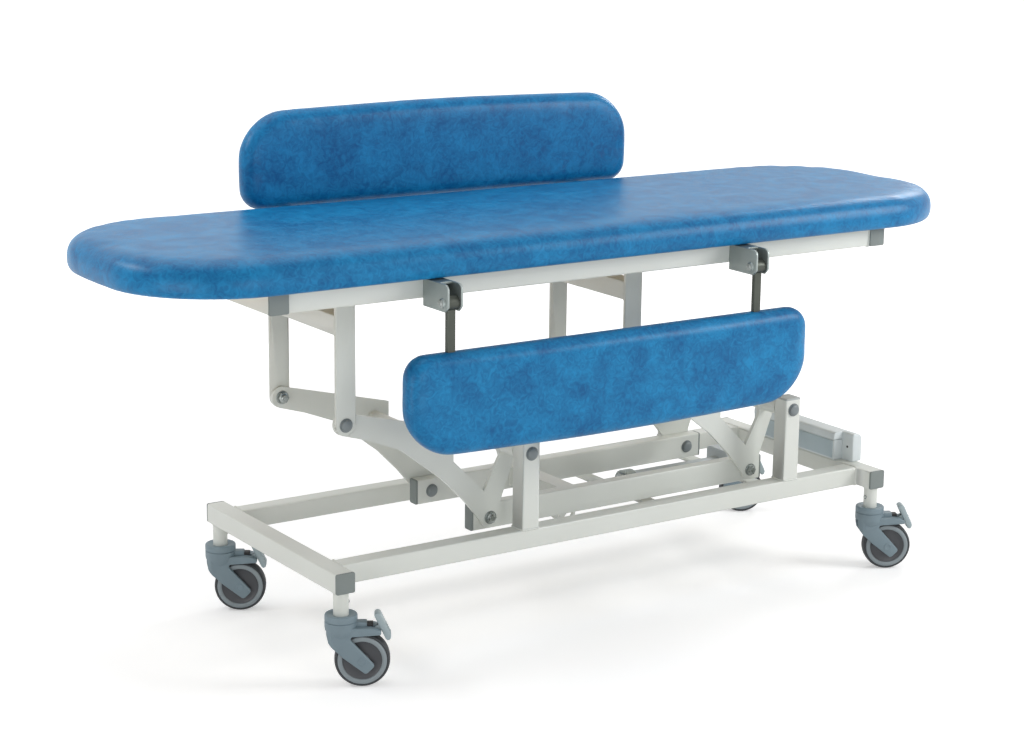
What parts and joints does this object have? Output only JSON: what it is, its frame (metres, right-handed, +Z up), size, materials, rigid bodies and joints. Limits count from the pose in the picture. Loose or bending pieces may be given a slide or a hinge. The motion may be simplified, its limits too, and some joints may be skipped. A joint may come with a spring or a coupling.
{
  "type": "electric changing table",
  "caption": "Height-adjustable changing table with a padded top, folding padded sides, a crank lift driven by a linear actuator and a tubular base on braked castors.",
  "frame": {"origin": "on the floor, under the middle of the padded top", "axes": "+X along the top towards the end with the control box, +Y towards the raised side pad, +Z up"},
  "size_m": [1.799, 0.6468, 0.9616],
  "materials": {
    "frame_paint": "satin powder coat",
    "cap_plastic": "moulded, matt",
    "castor_plastic": "moulded, satin",
    "wheel_plastic": "moulded, matt",
    "tyre_rubber": "matt rubber",
    "bolt_steel": "zinc plated",
    "bracket_metal": "satin grey",
    "arm_steel": "dark steel",
    "vinyl": "grained vinyl",
    "board_wood": "plywood",
    "box_plastic": "moulded, matt",
    "actuator_plastic": "moulded, matt"
  },
  "bodies": {
    "base": {"base_frame": "frame_paint", "control_box": "box_plastic", "control_box_cap": "box_plastic", "actuator_body": "actuator_plastic", "actuator_saddle": "bracket_metal", "pivot_shaft_left": "bolt_steel", "pivot_shaft_right": "bolt_steel", "base_cap_near_left": "cap_plastic", "base_cap_near_right": "cap_plastic", "base_cap_far_left": "cap_plastic", "base_cap_far_right": "cap_plastic"},
    "crank_left": {"crank_left": "frame_paint"},
    "crank_right": {"crank_right": "frame_paint"},
    "links": {"link_frame": "frame_paint", "link_cap_near_left": "cap_plastic", "link_cap_near_right": "cap_plastic", "link_cap_far_left": "cap_plastic", "link_cap_far_right": "cap_plastic", "link_bolt_near_left": "bolt_steel", "link_bolt_near_right": "bolt_steel", "link_bolt_far_left": "bolt_steel", "link_bolt_far_right": "bolt_steel"},
    "actuator_rod": {"actuator_rod": "bolt_steel"},
    "upper": {"upper_frame": "frame_paint", "top_pad": "vinyl", "top_board": "board_wood", "upper_cap_near_left": "cap_plastic", "upper_cap_near_right": "cap_plastic", "upper_cap_far_left": "cap_plastic", "upper_cap_far_right": "cap_plastic", "leg_bolt_near_left": "bolt_steel", "leg_bolt_near_right": "bolt_steel", "leg_bolt_far_left": "bolt_steel", "leg_bolt_far_right": "bolt_steel", "hinge_bracket_near_left": "bracket_metal", "hinge_bracket_near_right": "bracket_metal", "hinge_bracket_far_left": "bracket_metal", "hinge_bracket_far_right": "bracket_metal"},
    "side_near": {"side_pad_near": "vinyl", "side_arm_near_left": "arm_steel", "side_arm_near_right": "arm_steel"},
    "side_far": {"side_pad_far": "vinyl", "side_arm_far_left": "arm_steel", "side_arm_far_right": "arm_steel"},
    "castor_near_left": {"castor_housing_near_left": "castor_plastic"},
    "wheel_near_left": {"castor_wheel_near_left": "wheel_plastic", "castor_tyre_near_left": "tyre_rubber"},
    "pedal_near_left": {"castor_pedal_near_left": "castor_plastic"},
    "castor_near_right": {"castor_housing_near_right": "castor_plastic"},
    "wheel_near_right": {"castor_wheel_near_right": "wheel_plastic", "castor_tyre_near_right": "tyre_rubber"},
    "pedal_near_right": {"castor_pedal_near_right": "castor_plastic"},
    "castor_far_left": {"castor_housing_far_left": "castor_plastic"},
    "wheel_far_left": {"castor_wheel_far_left": "wheel_plastic", "castor_tyre_far_left": "tyre_rubber"},
    "pedal_far_left": {"castor_pedal_far_left": "castor_plastic"},
    "castor_far_right": {"castor_housing_far_right": "castor_plastic"},
    "wheel_far_right": {"castor_wheel_far_right": "wheel_plastic", "castor_tyre_far_right": "tyre_rubber"},
    "pedal_far_right": {"castor_pedal_far_right": "castor_plastic"}
  },
  "joints": [
    {"name": "lift", "type": "hinge", "parent": "base", "child": "crank_left", "pos_m": [-0.1377, 0, 0.362], "axis": [0, 1, 0], "range_deg": [-40, 32]},
    {"name": "crank_right_turn", "type": "hinge", "parent": "base", "child": "crank_right", "pos_m": [0.5036, 0, 0.362], "axis": [0, 1, 0], "range_deg": [-40, 32]},
    {"name": "upper_level", "type": "hinge", "parent": "crank_left", "child": "upper", "pos_m": [-0.4876, 0, 0.4451], "axis": [0, 1, 0], "range_deg": [-32, 40]},
    {"name": "link_level", "type": "hinge", "parent": "crank_left", "child": "links", "pos_m": [-0.1712, 0, 0.2193], "axis": [0, 1, 0], "range_deg": [-32, 40]},
    {"name": "actuator_extend", "type": "slide", "parent": "base", "child": "actuator_rod", "axis": [-1, 0, 0], "range_m": [-0.095, 0.076]},
    {"name": "side_near_fold", "type": "hinge", "parent": "upper", "child": "side_near", "pos_m": [-0.01, -0.298, 0.6898], "axis": [-1, 0, 0], "range_deg": [0, 180]},
    {"name": "side_far_fold", "type": "hinge", "parent": "upper", "child": "side_far", "pos_m": [-0.022, 0.298, 0.6898], "axis": [-1, 0, 0], "range_deg": [0, 180]},
    {"name": "swivel_near_left", "type": "hinge", "parent": "base", "child": "castor_near_left", "pos_m": [-0.562, -0.2404, 0.13], "axis": [0, 0, 1], "continuous": true},
    {"name": "wheel_near_left_roll", "type": "hinge", "parent": "castor_near_left", "child": "wheel_near_left", "pos_m": [-0.52952, -0.25915, 0.05], "axis": [0.5, 0.866, 0], "continuous": true},
    {"name": "pedal_near_left_press", "type": "hinge", "parent": "castor_near_left", "child": "pedal_near_left", "pos_m": [-0.50657, -0.2724, 0.1077], "axis": [0.5, 0.866, 0], "range_deg": [0, 10]},
    {"name": "swivel_near_right", "type": "hinge", "parent": "base", "child": "castor_near_right", "pos_m": [0.703, -0.2404, 0.13], "axis": [0, 0, 1], "continuous": true},
    {"name": "wheel_near_right_roll", "type": "hinge", "parent": "castor_near_right", "child": "wheel_near_right", "pos_m": [0.73548, -0.25915, 0.05], "axis": [0.5, 0.866, 0], "continuous": true},
    {"name": "pedal_near_right_press", "type": "hinge", "parent": "castor_near_right", "child": "pedal_near_right", "pos_m": [0.75843, -0.2724, 0.1077], "axis": [0.5, 0.866, 0], "range_deg": [0, 10]},
    {"name": "swivel_far_left", "type": "hinge", "parent": "base", "child": "castor_far_left", "pos_m": [-0.562, 0.2404, 0.13], "axis": [0, 0, 1], "continuous": true},
    {"name": "wheel_far_left_roll", "type": "hinge", "parent": "castor_far_left", "child": "wheel_far_left", "pos_m": [-0.52952, 0.22165, 0.05], "axis": [0.5, 0.866, 0], "continuous": true},
    {"name": "pedal_far_left_press", "type": "hinge", "parent": "castor_far_left", "child": "pedal_far_left", "pos_m": [-0.50657, 0.2084, 0.1077], "axis": [0.5, 0.866, 0], "range_deg": [0, 10]},
    {"name": "swivel_far_right", "type": "hinge", "parent": "base", "child": "castor_far_right", "pos_m": [0.703, 0.2404, 0.13], "axis": [0, 0, 1], "continuous": true},
    {"name": "wheel_far_right_roll", "type": "hinge", "parent": "castor_far_right", "child": "wheel_far_right", "pos_m": [0.73548, 0.22165, 0.05], "axis": [0.5, 0.866, 0], "continuous": true},
    {"name": "pedal_far_right_press", "type": "hinge", "parent": "castor_far_right", "child": "pedal_far_right", "pos_m": [0.75843, 0.2084, 0.1077], "axis": [0.5, 0.866, 0], "range_deg": [0, 10]}
  ],
  "couplings": [
    {"joint": "crank_right_turn", "follows": "lift", "ratio": 1},
    {"joint": "upper_level", "follows": "lift", "ratio": -1},
    {"joint": "link_level", "follows": "lift", "ratio": -1},
    {"joint": "actuator_extend", "follows": "lift", "m_per_rad": 0.135}
  ]
}
